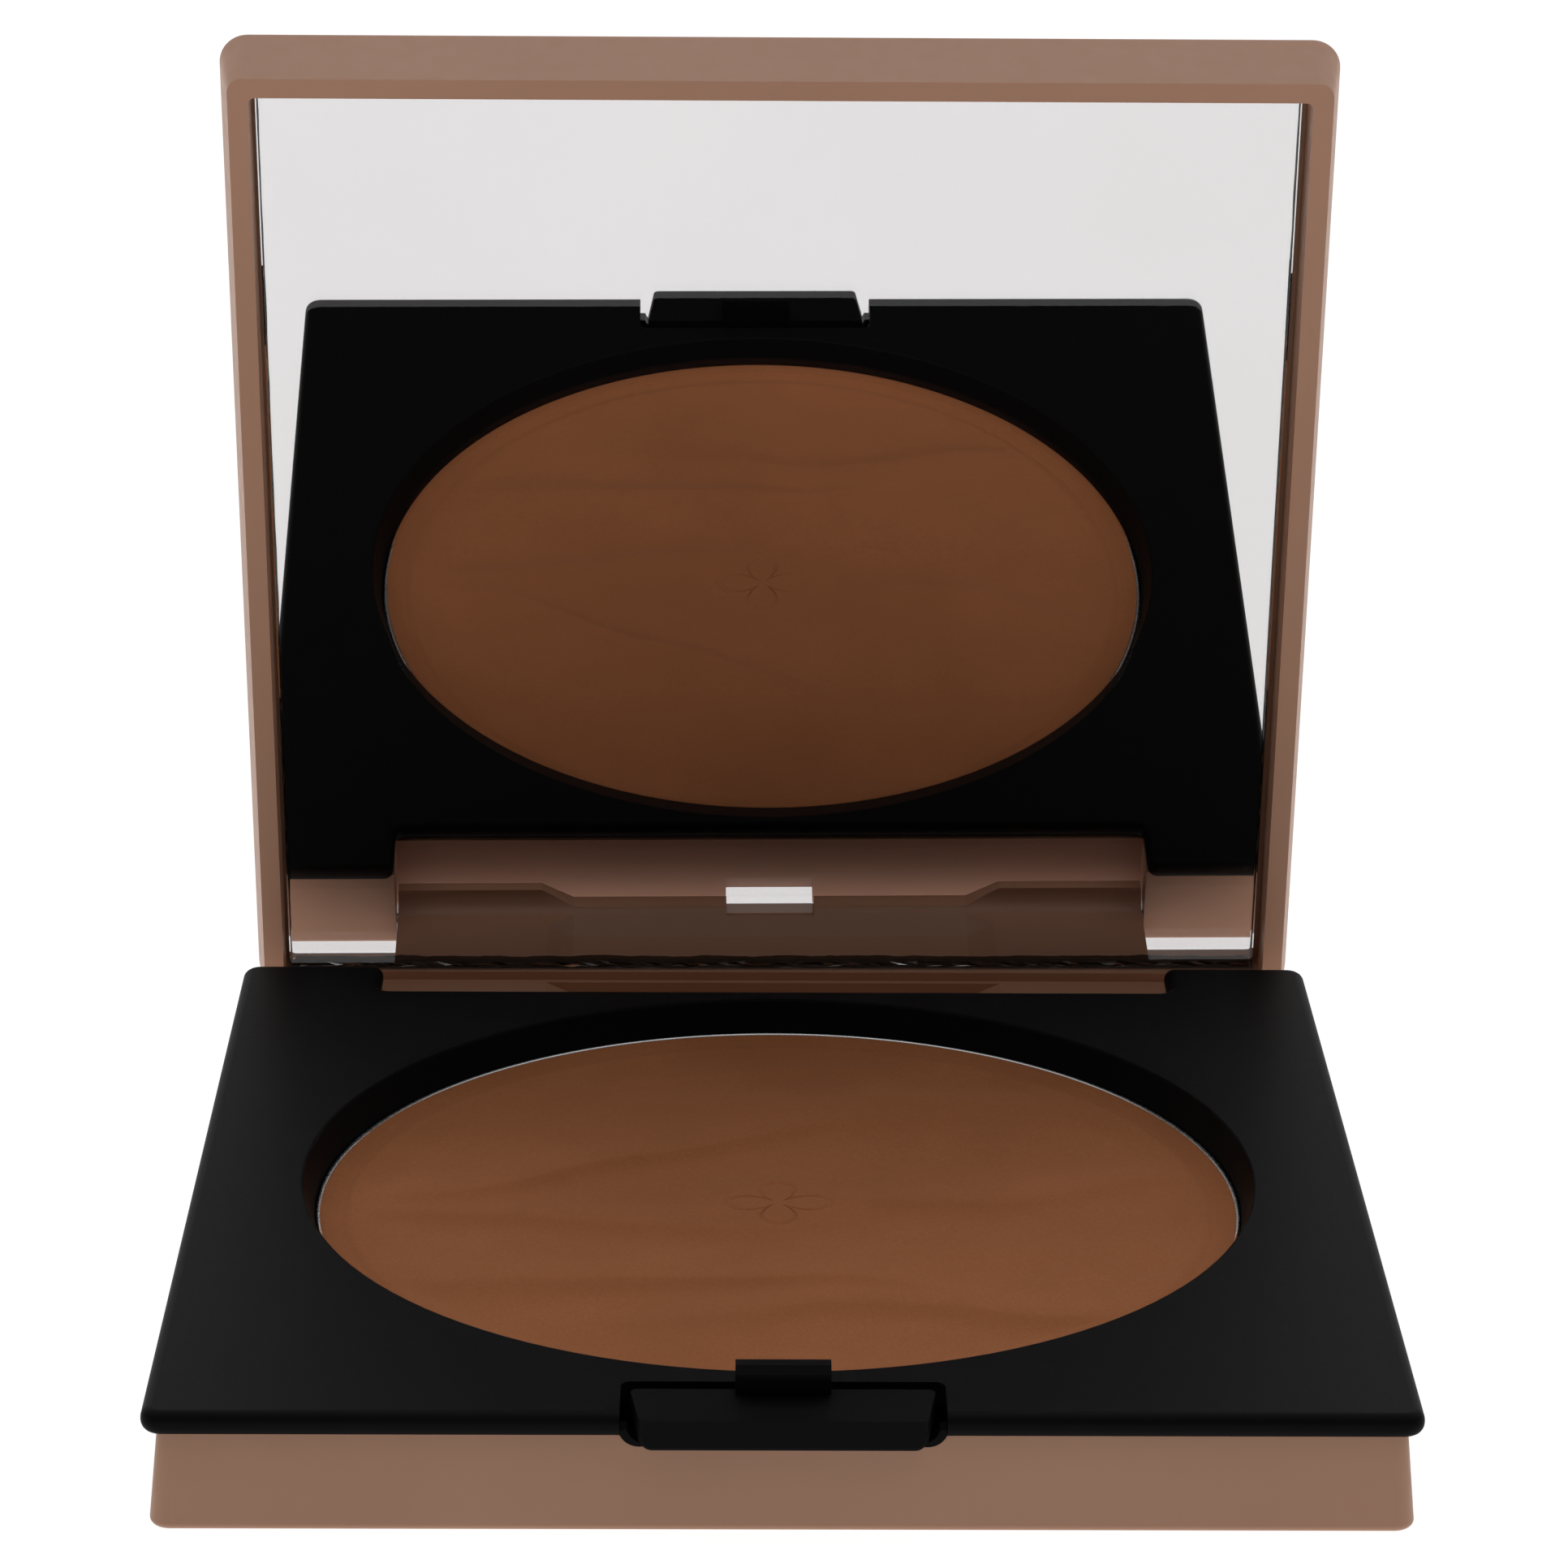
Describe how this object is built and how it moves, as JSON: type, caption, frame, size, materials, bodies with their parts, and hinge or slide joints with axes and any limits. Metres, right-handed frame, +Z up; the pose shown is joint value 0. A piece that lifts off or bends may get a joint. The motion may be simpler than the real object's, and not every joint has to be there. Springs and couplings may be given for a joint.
{
  "type": "powder compact",
  "caption": "Square powder compact with a hinged mirror lid, a push-button latch and a round pan of pressed powder in a matt insert.",
  "frame": {"origin": "middle of the flat underside of the base", "axes": "+Z up out of the table, +Y from the button towards the hinge, +X to the right seen from the button"},
  "size_m": [0.08, 0.0915, 0.0795],
  "materials": {
    "casing": "satin",
    "lid": "satin",
    "insert": "matt",
    "button": "matt",
    "pan": "satin",
    "powder": "matt, soft",
    "adhesive": "satin",
    "pin": "satin",
    "spring": "satin",
    "label": "matt",
    "mirror_glass": "polished",
    "silvering": "mirror",
    "tape": "matt"
  },
  "bodies": {
    "base": {"base_shell": "casing", "inner_deck": "insert", "powder_pan": "pan", "pressed_powder": "powder", "pan_adhesive": "adhesive", "hinge_pin_left": "pin", "hinge_pin_right": "pin", "underside_label": "label", "button_spring": "spring"},
    "button": {"latch_button": "button"},
    "lid": {"lid_shell": "lid", "mirror_glass": "mirror_glass", "mirror_silvering": "silvering", "mirror_tape": "tape"}
  },
  "joints": [
    {"name": "lid_hinge", "type": "hinge", "parent": "base", "child": "lid", "pos_m": [0, 0.038, 0.00135], "axis": [-1, 0, 0], "range_deg": [-79.8, 8]},
    {"name": "button_press", "type": "slide", "parent": "base", "child": "button", "axis": [0, 1, 0], "range_m": [0, 0.0009], "stiffness_N_per_m": 1500, "deforming": ["button_spring"]}
  ]
}
